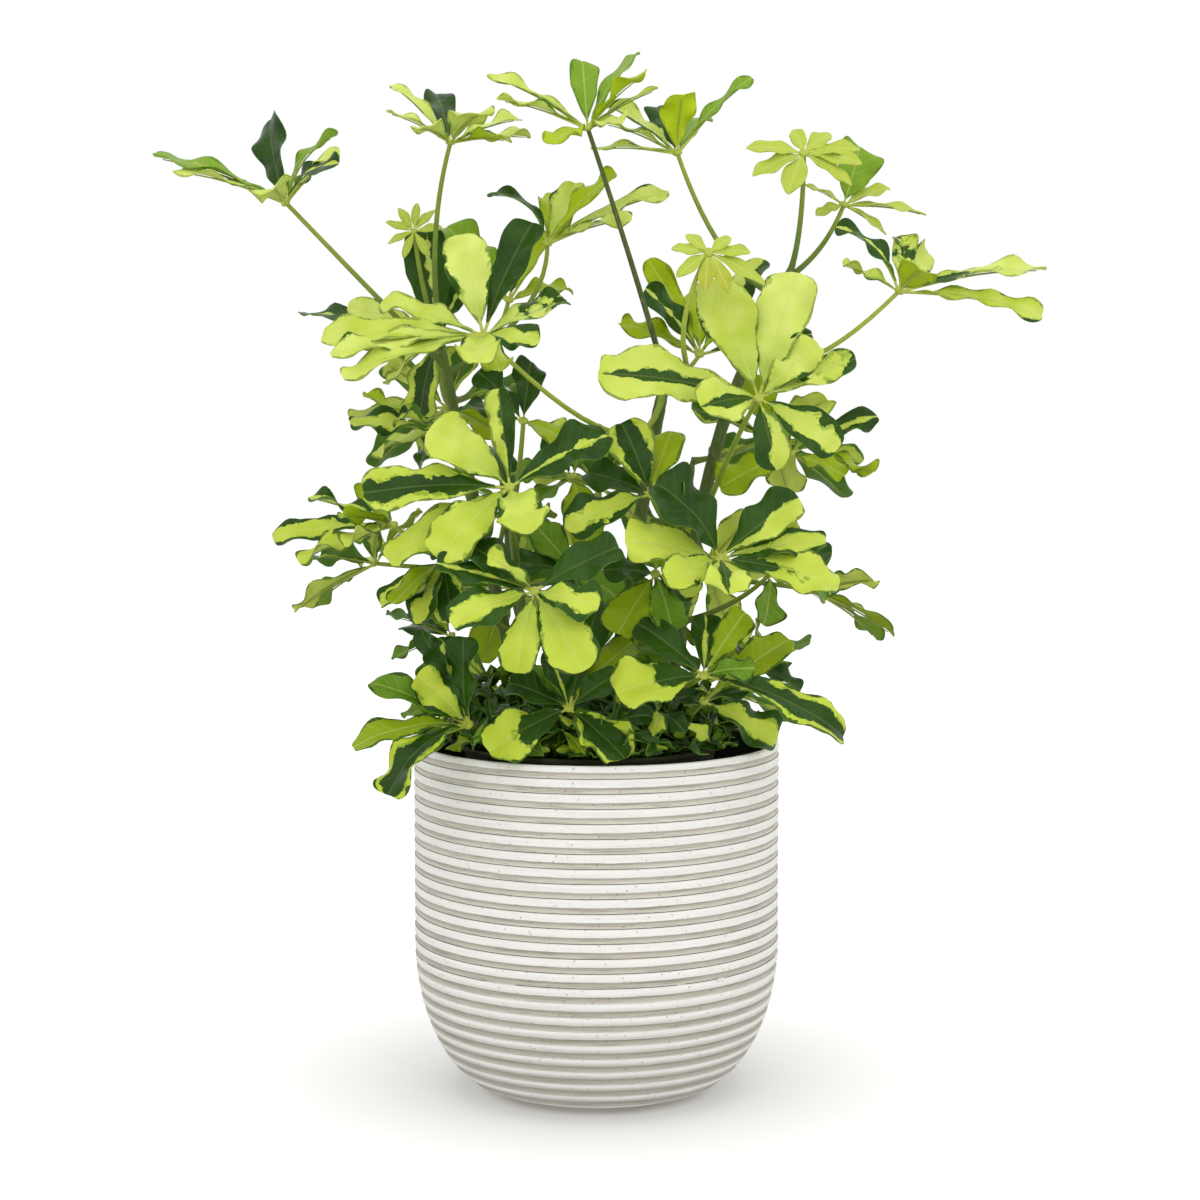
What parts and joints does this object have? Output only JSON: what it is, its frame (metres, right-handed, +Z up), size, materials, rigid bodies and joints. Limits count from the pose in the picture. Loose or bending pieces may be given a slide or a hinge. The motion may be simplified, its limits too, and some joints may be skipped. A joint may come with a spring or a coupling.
{
  "type": "potted umbrella plant",
  "caption": "Variegated umbrella plant with waved leaflets on long stalks, rooted in a thin grower pot that stands inside a ribbed, whitewashed cover pot.",
  "frame": {"origin": "centre of the cover pot's foot, on the surface that it stands on", "axes": "+Z up along the pot's axis, -Y towards the viewer of the picture, +X to the right"},
  "size_m": [0.5078, 0.3295, 0.5998],
  "materials": {
    "cover_pot": "whitewashed, matt",
    "grower_pot": "matt",
    "potting_soil": "crumbly, moist",
    "shoot": "waxy, satin"
  },
  "bodies": {
    "root": {"cover_pot": "cover_pot", "grower_pot": "grower_pot", "potting_soil": "potting_soil", "shoot_left": "shoot", "shoot_front_left": "shoot", "shoot_front": "shoot", "shoot_low_left": "shoot", "shoot_front_right": "shoot", "shoot_tall_right": "shoot", "shoot_tall_centre": "shoot", "shoot_back_left": "shoot", "shoot_back_right": "shoot", "shoot_back": "shoot"}
  },
  "joints": []
}
